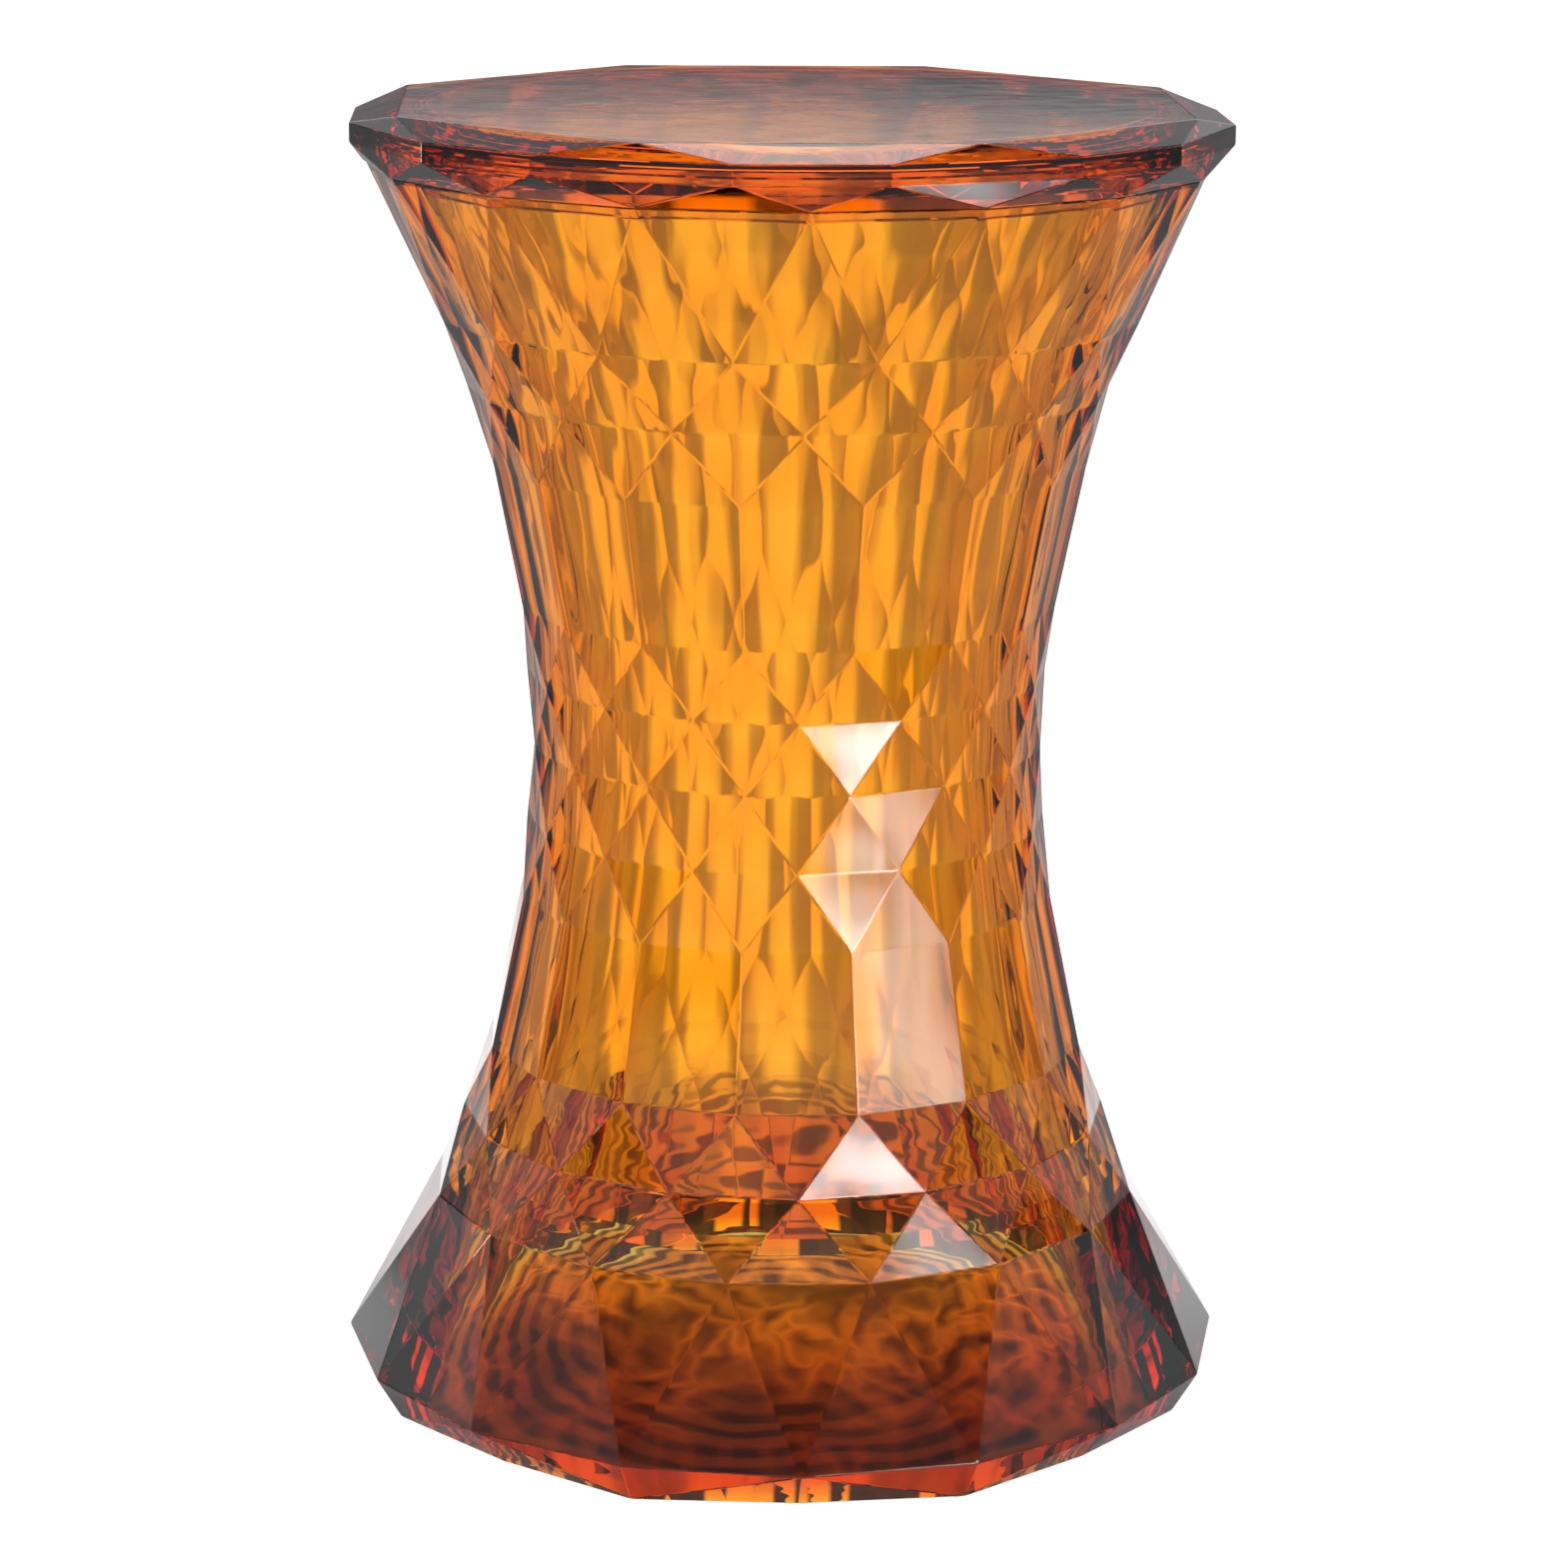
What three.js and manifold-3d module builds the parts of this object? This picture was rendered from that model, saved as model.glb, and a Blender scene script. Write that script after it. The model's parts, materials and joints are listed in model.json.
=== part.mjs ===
// A garden stool in see-through amber plastic, in millimetres with +Z up.
// It is a hollow hourglass, faceted outside and smooth inside, with a faceted seat on its mouth.
// The origin is on the floor, in the middle of the foot, and one straight side of the seat faces -Y.

import * as THREE from 'three';
import { mergeVertices } from 'three/addons/utils/BufferGeometryUtils.js';
import Module from 'manifold-3d';

const wasm = await Module();
wasm.setup();

// Whole stool
const STOOL_HEIGHT = 450;           // floor to the flat top of the seat
const SIDES = 16;                   // corners in each ring of facets
const SEAT_SIDES = 8;               // corners of the flat seat top
const ROUND_STEPS = 72;             // flats that stand for a full turn of a smooth surface
const OVERRUN = 5;                  // how far a cutter runs past the face that it cuts

// Foot and lower band of the body
const HEM_RADIUS = 154;             // the widest ring, just above the foot
const HEM_HEIGHT = 16;
const FOOT_CORNER_INSET = 9;        // the foot's eight main corners, in from the widest ring
const FOOT_SIDE_INSET = 15;         // its eight weak corners, in from the widest ring
const FOOT_WALL = 9.5;              // the foot's inner edge, in from the weak corners
const LOWER_BAND_RADIUS = 123.5;    // top ring of the tall lower facets
const LOWER_BAND_HEIGHT = 71.5;

// Waist and upper band of the body
const WAIST_RADIUS = 88.8;
const WAIST_HEIGHT = 229.5;
const UPPER_BAND_RADIUS = 119.5;    // bottom ring of the tall upper facets
const UPPER_BAND_HEIGHT = 378.5;
const WALL = 7;                     // from the middle of a facet's edge to the smooth inside

// From the waist to a band the rings stand at equal steps of height. The third step has no ring: tall
// flat panels run past it. Each ring has spread by a share of the whole spread.
const RING_STEPS = [0, 1, 2, 4, 5, 6];
const SPREAD_SHARES = [0, 0.035, 0.13, 0.45, 0.69, 1];
const INNER_STEPS = 30;             // straight stretches in the smooth inner outline

// Seat
const RIM_RADIUS = 150;             // to the corners of the upright rim
const SEAT_CHAMFER_WIDTH = 8;       // the flat top's corners, in from the rim
const UNDER_CHAMFER_WIDTH = 5.5;    // the seat's lowest outer ring, in from the rim
const SEAT_OVERHANG = 1;            // the same ring, out from the body's mouth
const RIM_HALF_SIDE = THREE.MathUtils.degToRad(9.5);   // half of the rim side below a seat side
const SEAT_CHAMFER_HEIGHT = 4.9;
const RIM_HEIGHT = 6.6;
const UNDER_CHAMFER_HEIGHT = 8.6;
const SEAT_PLATE = 8;               // thickness of the plate that is sat on
const SPIGOT_HEIGHT = 3;            // ring below the rim that centres the seat in the mouth
const SPIGOT_WALL = 5;
const SEAT_FILLET = 4;              // under the plate, where it turns into the spigot
const FILLET_STEPS = 5;
const SEAT_JOINT = 0.3;             // the bond between the seat and the body
const SPIGOT_CLEARANCE = 0.3;

// Glides
const GLIDE_COUNT = 4;
const GLIDE_RADIUS = 5;
const GLIDE_EDGE = 0.6;             // small chamfer round the glide's lower face
const GLIDE_PROUD = 1.2;            // how far the glides hold the body off the floor
const GLIDE_POCKET_DEPTH = 1.8;
const GLIDE_CLEARANCE = 0.3;
const GLIDE_STEPS = 32;

// Heights and radii that follow from the sizes above
const HALF_TURN_STEP = Math.PI / SIDES;
const SIDE_SHARE = Math.cos(HALF_TURN_STEP);
const RIM_TOP = STOOL_HEIGHT - SEAT_CHAMFER_HEIGHT;
const RIM_BOTTOM = RIM_TOP - RIM_HEIGHT;
const SEAT_FOOT = RIM_BOTTOM - UNDER_CHAMFER_HEIGHT;
const MOUTH_HEIGHT = SEAT_FOOT - SEAT_JOINT;
const FOOT_CORNER_RADIUS = HEM_RADIUS - FOOT_CORNER_INSET;
const FOOT_SIDE_RADIUS = HEM_RADIUS - FOOT_SIDE_INSET;
const FOOT_INNER_RADIUS = FOOT_SIDE_RADIUS - FOOT_WALL;
const SEAT_FLAT_RADIUS = RIM_RADIUS - SEAT_CHAMFER_WIDTH;
const SEAT_FOOT_RADIUS = RIM_RADIUS - UNDER_CHAMFER_WIDTH;
const MOUTH_RADIUS = SEAT_FOOT_RADIUS - SEAT_OVERHANG;
const MOUTH_INNER_RADIUS = MOUTH_RADIUS * SIDE_SHARE - WALL;

// A point of a ring. Angles are taken from the side of the stool that faces -Y.
function ringPoint(radius, height, angle) {
  return new THREE.Vector3(radius * Math.sin(angle), -radius * Math.cos(angle), height);
}

// A ring of equal corners. A turned ring has its corners over the middles of a straight one's sides.
function evenRing(radius, height, turned) {
  const start = turned ? HALF_TURN_STEP : 0;
  return Array.from({ length: SIDES }, (_, k) =>
    ringPoint(radius, height, start + 2 * HALF_TURN_STEP * k));
}

// The foot's ring has strong corners below the seat's corners and weak ones between them.
function footRing(height) {
  return Array.from({ length: SIDES }, (_, k) => {
    const radius = k % 2 === 0 ? FOOT_SIDE_RADIUS : FOOT_CORNER_RADIUS;
    return ringPoint(radius, height, 2 * HALF_TURN_STEP * k);
  });
}

// The flat seat top's ring, with a straight side facing -Y.
function seatRing() {
  const step = 2 * Math.PI / SEAT_SIDES;
  return Array.from({ length: SEAT_SIDES }, (_, k) =>
    ringPoint(SEAT_FLAT_RADIUS, STOOL_HEIGHT, step / 2 + step * k));
}

// A ring of the rim, with a short side below each side of the seat top and a long one between.
function rimRing(radius, height) {
  const step = 2 * Math.PI / SEAT_SIDES;
  return Array.from({ length: SEAT_SIDES }, (_, k) => [
    ringPoint(radius, height, step * k + RIM_HALF_SIDE),
    ringPoint(radius, height, step * (k + 1) - RIM_HALF_SIDE),
  ]).flat();
}

// How far the middle of the line between two points lies from the stool's axis.
function middleRadius(a, b) {
  return Math.hypot(a.x + b.x, a.y + b.y) / 2;
}

// Flat triangles between two rings. Each step takes the edge that lies further out.
function bandTriangles(lower, upper) {
  const triangles = [];
  let i = 0;
  let j = 0;
  while (i < lower.length || j < upper.length) {
    const low = lower[i % lower.length];
    const high = upper[j % upper.length];
    const nextLow = lower[(i + 1) % lower.length];
    const nextHigh = upper[(j + 1) % upper.length];
    const lowIsOuter = middleRadius(nextLow, high) >= middleRadius(low, nextHigh);
    if (j >= upper.length || (i < lower.length && lowIsOuter)) {
      triangles.push([low, nextLow, high]);
      i += 1;
    } else {
      triangles.push([low, nextHigh, high]);
      j += 1;
    }
  }
  return triangles;
}

// A closed faceted solid through a stack of rings, from the lowest to the highest.
function facetedSolid(rings) {
  const triangles = [];
  const lowest = rings[0];
  const highest = rings[rings.length - 1];
  for (let k = 1; k + 1 < lowest.length; k += 1) {
    triangles.push([lowest[0], lowest[k + 1], lowest[k]]);
  }
  for (let k = 1; k < rings.length; k += 1) {
    triangles.push(...bandTriangles(rings[k - 1], rings[k]));
  }
  for (let k = 1; k + 1 < highest.length; k += 1) {
    triangles.push([highest[0], highest[k], highest[k + 1]]);
  }
  return solidFrom(new THREE.BufferGeometry().setFromPoints(triangles.flat()));
}

// A smooth solid turned about the stool's axis, from an outline of radius and height.
function turnedSolid(outline, steps) {
  const geometry = new THREE.LatheGeometry(outline, steps);
  geometry.rotateX(Math.PI / 2);
  return solidFrom(geometry);
}

// A closed three.js mesh as a solid that can be cut and joined.
function solidFrom(geometry) {
  const bare = geometry.clone();
  bare.deleteAttribute('normal');
  bare.deleteAttribute('uv');
  const merged = mergeVertices(bare);
  return new wasm.Manifold(new wasm.Mesh({
    numProp: 3,
    vertProperties: Float32Array.from(merged.attributes.position.array),
    triVerts: Uint32Array.from(merged.index.array),
  }));
}

// A solid back as a three.js mesh, with its facets shaded flat.
function geometryFrom(solid) {
  const mesh = solid.getMesh();
  const geometry = new THREE.BufferGeometry();
  geometry.setAttribute('position', new THREE.BufferAttribute(mesh.vertProperties, 3));
  geometry.setIndex(new THREE.BufferAttribute(mesh.triVerts, 1));
  const flat = geometry.toNonIndexed();
  flat.computeVertexNormals();
  return flat;
}

// The rings between the waist and one of the two tall bands, in order from the waist.
function flareRings(bandRadius, bandHeight) {
  const last = RING_STEPS[RING_STEPS.length - 1];
  return RING_STEPS.map((step, k) => ({
    radius: WAIST_RADIUS + (bandRadius - WAIST_RADIUS) * SPREAD_SHARES[k],
    height: WAIST_HEIGHT + (bandHeight - WAIST_HEIGHT) * step / last,
    turned: step % 2 === 0,
  }));
}

// All the rings from the lower band to the upper band, with the waist once.
function hourglassRings() {
  const below = flareRings(LOWER_BAND_RADIUS, LOWER_BAND_HEIGHT).reverse();
  const above = flareRings(UPPER_BAND_RADIUS, UPPER_BAND_HEIGHT);
  return [...below, ...above.slice(1)];
}

// The smooth inner outline, from the foot's opening to the mouth.
function innerOutline() {
  const knots = [
    new THREE.Vector2(FOOT_INNER_RADIUS, GLIDE_PROUD),
    ...hourglassRings().map((ring) =>
      new THREE.Vector2(ring.radius * SIDE_SHARE - WALL, ring.height)),
    new THREE.Vector2(MOUTH_INNER_RADIUS, MOUTH_HEIGHT),
  ];
  return new THREE.SplineCurve(knots).getSpacedPoints(INNER_STEPS);
}

// The inner radius at a height, on the straight stretch of the outline that holds it.
function innerRadiusAt(height) {
  const outline = innerOutline();
  const k = outline.findIndex((point, at) => at > 0 && point.y >= height);
  const low = outline[k - 1];
  const high = outline[k];
  const share = (height - low.y) / (high.y - low.y);
  return low.x + (high.x - low.x) * share;
}

// Where the glides sit: halfway across the foot, below four of the seat's corners.
function glidePlaces() {
  const radius = (FOOT_INNER_RADIUS + FOOT_CORNER_RADIUS) / 2;
  const first = Math.PI / SEAT_SIDES;
  return Array.from({ length: GLIDE_COUNT }, (_, k) =>
    ringPoint(radius, 0, first + 2 * Math.PI * k / GLIDE_COUNT));
}

// An upright cylinder between two heights, for a glide's pocket.
function upright(radius, low, high) {
  const geometry = new THREE.CylinderGeometry(radius, radius, high - low, GLIDE_STEPS);
  geometry.rotateX(Math.PI / 2);
  geometry.translate(0, 0, (low + high) / 2);
  return geometry;
}

// The body: a faceted hourglass with a smooth bore and four pockets for the glides.
function bodyShell() {
  const outside = facetedSolid([
    footRing(GLIDE_PROUD),
    evenRing(HEM_RADIUS, HEM_HEIGHT, false),
    ...hourglassRings().map((ring) => evenRing(ring.radius, ring.height, ring.turned)),
    evenRing(MOUTH_RADIUS, MOUTH_HEIGHT, false),
  ]);
  const top = MOUTH_HEIGHT + OVERRUN;
  const bottom = GLIDE_PROUD - OVERRUN;
  const bore = turnedSolid([
    new THREE.Vector2(0, bottom),
    new THREE.Vector2(FOOT_INNER_RADIUS, bottom),
    ...innerOutline(),
    new THREE.Vector2(MOUTH_INNER_RADIUS, top),
    new THREE.Vector2(0, top),
  ], ROUND_STEPS);
  let body = outside.subtract(bore);
  const pocketRadius = GLIDE_RADIUS + GLIDE_CLEARANCE;
  const pocket = solidFrom(upright(pocketRadius, bottom, GLIDE_PROUD + GLIDE_POCKET_DEPTH));
  for (const place of glidePlaces()) {
    body = body.subtract(pocket.translate([place.x, place.y, 0]));
  }
  return geometryFrom(body);
}

// The seat: a faceted cap, hollow below, with a round spigot that drops into the mouth.
function seatTop() {
  const cap = facetedSolid([
    evenRing(SEAT_FOOT_RADIUS, SEAT_FOOT, false),
    rimRing(RIM_RADIUS, RIM_BOTTOM),
    rimRing(RIM_RADIUS, RIM_TOP),
    seatRing(),
  ]);
  const spigotFoot = MOUTH_HEIGHT - SPIGOT_HEIGHT;
  const spigotRadius = innerRadiusAt(spigotFoot) - SPIGOT_CLEARANCE;
  const spigot = turnedSolid([
    new THREE.Vector2(0, spigotFoot),
    new THREE.Vector2(spigotRadius, spigotFoot),
    new THREE.Vector2(spigotRadius, RIM_BOTTOM),
    new THREE.Vector2(0, RIM_BOTTOM),
  ], ROUND_STEPS);
  const hollowRadius = spigotRadius - SPIGOT_WALL;
  const ceiling = STOOL_HEIGHT - SEAT_PLATE;
  const fillet = Array.from({ length: FILLET_STEPS + 1 }, (_, k) => {
    const angle = Math.PI / 2 * k / FILLET_STEPS;
    return new THREE.Vector2(
      hollowRadius - SEAT_FILLET + SEAT_FILLET * Math.cos(angle),
      ceiling - SEAT_FILLET + SEAT_FILLET * Math.sin(angle),
    );
  });
  const hollow = turnedSolid([
    new THREE.Vector2(0, spigotFoot - OVERRUN),
    new THREE.Vector2(hollowRadius, spigotFoot - OVERRUN),
    ...fillet,
    new THREE.Vector2(0, ceiling),
  ], ROUND_STEPS);
  return geometryFrom(cap.add(spigot).subtract(hollow));
}

// One glide: a clear round pad with a small chamfer at the floor.
function glide() {
  const top = GLIDE_PROUD + GLIDE_POCKET_DEPTH - GLIDE_CLEARANCE;
  const geometry = new THREE.LatheGeometry([
    new THREE.Vector2(0, 0),
    new THREE.Vector2(GLIDE_RADIUS - GLIDE_EDGE, 0),
    new THREE.Vector2(GLIDE_RADIUS, GLIDE_EDGE),
    new THREE.Vector2(GLIDE_RADIUS, top),
    new THREE.Vector2(0, top),
  ], GLIDE_STEPS);
  geometry.rotateX(Math.PI / 2);
  return geometryFrom(solidFrom(geometry));
}

function amberPlastic(opacity) {
  return new THREE.MeshStandardMaterial({
    color: 0xd9821a, roughness: 0.06, metalness: 0, transparent: true, opacity,
  });
}

function clearRubber() {
  return new THREE.MeshStandardMaterial({
    color: 0xd8d4cc, roughness: 0.45, metalness: 0, transparent: true, opacity: 0.7,
  });
}

function named(name, geometry, material) {
  const mesh = new THREE.Mesh(geometry, material);
  mesh.name = name;
  return mesh;
}

const stool = new THREE.Group();
stool.name = 'garden_stool';
stool.add(named('body_shell', bodyShell(), amberPlastic(0.7)));
stool.add(named('seat_top', seatTop(), amberPlastic(0.8)));
glidePlaces().forEach((place, k) => {
  const pad = named(`glide_${k + 1}`, glide(), clearRubber());
  pad.position.set(place.x, place.y, 0);
  stool.add(pad);
});

export default stool;
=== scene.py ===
# %% [markdown]
# # A garden stool in see-through amber plastic
# The real stool is a hollow hourglass, moulded in clear plastic that is coloured right through. Outside
# it is cut into flat triangles, inside it is smooth, and a faceted seat is bonded to its mouth. This
# lesson remakes the two mouldings with fine edges, gives them a plastic that bends and soaks up light,
# and sets up the floor, the lamps and the camera.
#
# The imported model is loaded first. Every size below is in metres, in its frame: the origin is on the
# floor, in the middle of the foot, and the viewer's side is -Y.

import json
import math

import bmesh
import bpy
from mathutils import Matrix, Vector
from mathutils.geometry import interpolate_bezier

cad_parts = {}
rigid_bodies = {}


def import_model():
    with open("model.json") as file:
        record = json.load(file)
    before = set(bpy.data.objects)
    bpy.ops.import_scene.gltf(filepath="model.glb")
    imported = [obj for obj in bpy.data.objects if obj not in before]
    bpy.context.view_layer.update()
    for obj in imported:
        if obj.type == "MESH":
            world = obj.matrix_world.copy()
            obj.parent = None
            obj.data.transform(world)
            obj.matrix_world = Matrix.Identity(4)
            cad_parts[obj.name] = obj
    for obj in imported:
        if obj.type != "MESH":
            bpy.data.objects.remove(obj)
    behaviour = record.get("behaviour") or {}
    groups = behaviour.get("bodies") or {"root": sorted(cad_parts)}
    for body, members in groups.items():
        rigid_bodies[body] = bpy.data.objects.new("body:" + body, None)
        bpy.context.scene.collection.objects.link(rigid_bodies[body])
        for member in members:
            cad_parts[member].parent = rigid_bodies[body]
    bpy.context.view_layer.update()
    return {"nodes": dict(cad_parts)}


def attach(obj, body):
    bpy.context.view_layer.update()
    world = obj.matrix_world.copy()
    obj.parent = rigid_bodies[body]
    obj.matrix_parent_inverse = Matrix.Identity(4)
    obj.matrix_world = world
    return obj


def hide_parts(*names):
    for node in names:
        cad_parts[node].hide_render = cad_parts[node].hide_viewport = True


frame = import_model()
scene = bpy.context.scene
print("packed nodes:", ", ".join(sorted(frame["nodes"])))

# %% [markdown]
# ## Sizes
# The sizes are the same named values as in the model's own source. A ring is a radius, a height, and
# whether it is turned by half a step, so that its corners stand over the middles of its neighbour's
# sides. That turn is what makes the flat triangles.

# %% Name the sizes
MM = 0.001
STOOL_HEIGHT = 450 * MM
SIDES = 16
HALF_STEP = math.pi / SIDES
SIDE_SHARE = math.cos(HALF_STEP)

HEM_RADIUS, HEM_HEIGHT = 154 * MM, 16 * MM
FOOT_CORNER_RADIUS = HEM_RADIUS - 9 * MM
FOOT_SIDE_RADIUS = HEM_RADIUS - 15 * MM
FOOT_WALL = 9.5 * MM
LOWER_BAND_RADIUS, LOWER_BAND_HEIGHT = 123.5 * MM, 71.5 * MM
WAIST_RADIUS, WAIST_HEIGHT = 88.8 * MM, 229.5 * MM
UPPER_BAND_RADIUS, UPPER_BAND_HEIGHT = 119.5 * MM, 378.5 * MM
WALL = 7 * MM
RING_STEPS = (0, 1, 2, 4, 5, 6)
SPREAD_SHARES = (0, 0.035, 0.13, 0.45, 0.69, 1)

RIM_RADIUS = 150 * MM
SEAT_FLAT_RADIUS = RIM_RADIUS - 8 * MM
SEAT_FOOT_RADIUS = RIM_RADIUS - 5.5 * MM
MOUTH_RADIUS = SEAT_FOOT_RADIUS - 1 * MM
RIM_HALF_SIDE = math.radians(9.5)
RIM_TOP = STOOL_HEIGHT - 4.9 * MM
RIM_BOTTOM = RIM_TOP - 6.6 * MM
SEAT_FOOT = RIM_BOTTOM - 8.6 * MM
JOINT = 0.3 * MM
MOUTH_HEIGHT = SEAT_FOOT - JOINT

GLIDE_PROUD = 1.2 * MM    # how far the glides hold the foot off the floor
FOOT_INNER_RADIUS = FOOT_SIDE_RADIUS - FOOT_WALL
MOUTH_INNER_RADIUS = MOUTH_RADIUS * SIDE_SHARE - WALL
print(f"stool {STOOL_HEIGHT * 1000:.0f} mm high, {2 * HEM_RADIUS * 1000:.0f} mm across its widest ring")

# %% [markdown]
# ## Flat facets between rings
# A band of facets could be typed in as a list of triangles. It is easier to lay down the corners of its
# two rings and stretch a skin over them: their convex hull picks the triangles by itself, and two rings
# are always convex together, even where the stool as a whole is waisted. The hull's two flat caps go
# again, except at the ends of the stack.

# %% Helpers for rings and bands
CLOSE = 0.01 * MM                # corners nearer than this are one corner
FLAT_BELOW = math.radians(0.2)   # faces that meet at less than this are one facet


def add_ring(bm, radius, height, corners=SIDES, turn=0.0):
    """The corners of one ring, with the first one at the stool's back, turned by an angle."""
    place = Matrix.Translation((0, 0, height)) @ Matrix.Rotation(turn, 4, "Z")
    return bmesh.ops.create_circle(bm, segments=corners, radius=radius, matrix=place)["verts"]


def is_level(face):
    heights = [v.co.z for v in face.verts]
    return max(heights) - min(heights) < CLOSE


def add_band(bm, lower, upper):
    """A skin between two rings, without the caps."""
    hull = bmesh.ops.convex_hull(bm, input=lower + upper)["geom"]
    caps = [f for f in hull if isinstance(f, bmesh.types.BMFace) and is_level(f)]
    bmesh.ops.delete(bm, geom=caps, context="FACES")


def faceted_solid(rings):
    """A closed solid from functions that each lay down one ring."""
    bm = bmesh.new()
    for lower, upper in zip(rings, rings[1:]):
        add_band(bm, lower(bm), upper(bm))
    bmesh.ops.delete(bm, geom=[e for e in bm.edges if e.is_wire], context="EDGES")
    bmesh.ops.remove_doubles(bm, verts=bm.verts, dist=CLOSE)
    bmesh.ops.dissolve_limit(bm, angle_limit=FLAT_BELOW, verts=bm.verts, edges=bm.edges)
    bmesh.ops.holes_fill(bm, edges=[e for e in bm.edges if e.is_boundary], sides=0)
    bmesh.ops.recalc_face_normals(bm, faces=bm.faces)
    return bm


# %% [markdown]
# ## Moulded edges
# No moulded edge is truly sharp, and the thin line of light along each one is what makes the stool look
# cut. A bevel of under half a millimetre is enough.
#
# The facets have to look flat and the inside smooth. Flat faces beside smooth ones would do it on solid
# things, but not here: the renderer keeps count of a ray's way in and out of the plastic, and it takes
# flat and smooth faces for two kinds of skin. So all faces are smooth, and every edge that bends by more
# than a few degrees is marked sharp.

# %% Helpers for edges and finished pieces
EDGE = 0.45 * MM                # how far a moulded edge is rounded
ROUND_ABOVE = math.radians(1)   # an edge that bends by more than this is rounded
SHARP_ABOVE = math.radians(3)   # an edge that bends by more than this is shaded as a sharp one


def round_edges(bm, width=EDGE):
    """Rounds every edge between two facets that meet at an angle."""
    bent = [e for e in bm.edges if abs(e.calc_face_angle_signed(0)) > ROUND_ABOVE]
    bmesh.ops.bevel(
        bm, geom=bent, offset=width, offset_type="OFFSET", segments=2, profile=0.5,
        affect="EDGES", material=-1, clamp_overlap=True,
    )
    return len(bent)


def mesh_object(name, bm):
    """A new piece in the scene from a bmesh, which is freed."""
    mesh = bpy.data.meshes.new(name)
    bm.to_mesh(mesh)
    bm.free()
    piece = bpy.data.objects.new(name, mesh)
    scene.collection.objects.link(piece)
    return piece


def boolean(piece, cutter, operation):
    """Cuts one piece with another, or joins them, and clears the other away."""
    step = piece.modifiers.new(operation, "BOOLEAN")
    step.operation, step.object, step.solver = operation, cutter, "EXACT"
    graph = bpy.context.evaluated_depsgraph_get()
    done = bpy.data.meshes.new_from_object(piece.evaluated_get(graph))
    piece.modifiers.clear()
    piece.data = done
    bpy.data.objects.remove(cutter)


def shade_by_angle(piece):
    """Smooth shading that stops at the sharp edges."""
    piece.data.shade_smooth()
    piece.data.set_sharp_from_angle(angle=SHARP_ABOVE)


# %% [markdown]
# ## Smooth turned shapes
# The inside of the stool is a surface of revolution, because the steel core that forms it is turned on a
# lathe and drawn out from below. An outline of points is spun a full turn about the upright axis. It
# starts and ends on the axis, so it closes on itself.

# %% Helper for turned solids
TURN_STEPS = 192   # flats in a full turn of a smooth surface


def turned_solid(name, outline):
    """A closed solid from an outline of (radius, height) points that runs from the axis to the axis."""
    bm = bmesh.new()
    corners = [bm.verts.new((radius, 0, height)) for radius, height in outline]
    profile = [bm.edges.new(pair) for pair in zip(corners, corners[1:])]
    bmesh.ops.spin(
        bm, geom=corners + profile, cent=(0, 0, 0), axis=(0, 0, 1), angle=2 * math.pi,
        steps=TURN_STEPS, use_merge=True, use_duplicate=False,
    )
    bmesh.ops.remove_doubles(bm, verts=bm.verts, dist=CLOSE / 10)
    bmesh.ops.recalc_face_normals(bm, faces=bm.faces)
    return mesh_object(name, bm)


# %% [markdown]
# ## The body's outside
# From the floor up: the foot, whose ring has strong and weak corners in turn, the widest ring just above
# it, a tall band of triangles, and then bands of equal height in to the waist and out again, up to the
# tall band below the mouth. Halfway along each flare one ring is left out. The rings beside the gap have
# the same turn, so the band between them is not triangles but tall flat panels.

# %% Facets of the body
def flare(band_radius, band_height):
    """Rings between the waist and a tall band, in order from the waist."""
    return [
        (WAIST_RADIUS + (band_radius - WAIST_RADIUS) * share,
         WAIST_HEIGHT + (band_height - WAIST_HEIGHT) * step / RING_STEPS[-1],
         HALF_STEP if step % 2 == 0 else 0)
        for step, share in zip(RING_STEPS, SPREAD_SHARES)
    ]


below = flare(LOWER_BAND_RADIUS, LOWER_BAND_HEIGHT)
above = flare(UPPER_BAND_RADIUS, UPPER_BAND_HEIGHT)
hourglass = below[::-1] + above[1:]


def foot_ring(bm):
    strong = add_ring(bm, FOOT_CORNER_RADIUS, GLIDE_PROUD, SIDES // 2, 2 * HALF_STEP)
    return strong + add_ring(bm, FOOT_SIDE_RADIUS, GLIDE_PROUD, SIDES // 2)


def even_ring(radius, height, turn=0.0):
    return lambda bm: add_ring(bm, radius, height, SIDES, turn)


facets = faceted_solid(
    [foot_ring, even_ring(HEM_RADIUS, HEM_HEIGHT)]
    + [even_ring(*ring) for ring in hourglass]
    + [even_ring(MOUTH_RADIUS, MOUTH_HEIGHT)]
)
print("body facets:", len(facets.faces), "edges rounded:", round_edges(facets))
body = mesh_object("body", facets)

# %% [markdown]
# ## The body's smooth inside
# The inner outline runs a wall's thickness in from the facets. A smooth curve passes through one point
# for each ring, with a handle on each side that follows its neighbours. Spun round, it makes a solid core,
# and that is cut out of the facets as the steel one is drawn out of the moulding.

# %% Bore
OVERRUN = 5 * MM         # how far a cutter runs past the face that it cuts
POINTS_PER_STRETCH = 7   # points of the curve between two rings, with both ends
HANDLE_PART = 6          # a handle is this part of the step between its point's neighbours


def smooth_outline(knots):
    """A smooth curve through points of (radius, height)."""
    at = [Vector((radius, height, 0)) for radius, height in knots]
    steps = [at[min(k + 1, len(at) - 1)] - at[max(k - 1, 0)] for k in range(len(at))]
    lean = [step / HANDLE_PART for step in steps]
    curve = []
    for k in range(len(at) - 1):
        stretch = interpolate_bezier(
            at[k], at[k] + lean[k], at[k + 1] - lean[k + 1], at[k + 1], POINTS_PER_STRETCH)
        curve += stretch if k == 0 else stretch[1:]
    return [(point.x, point.y) for point in curve]


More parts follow.
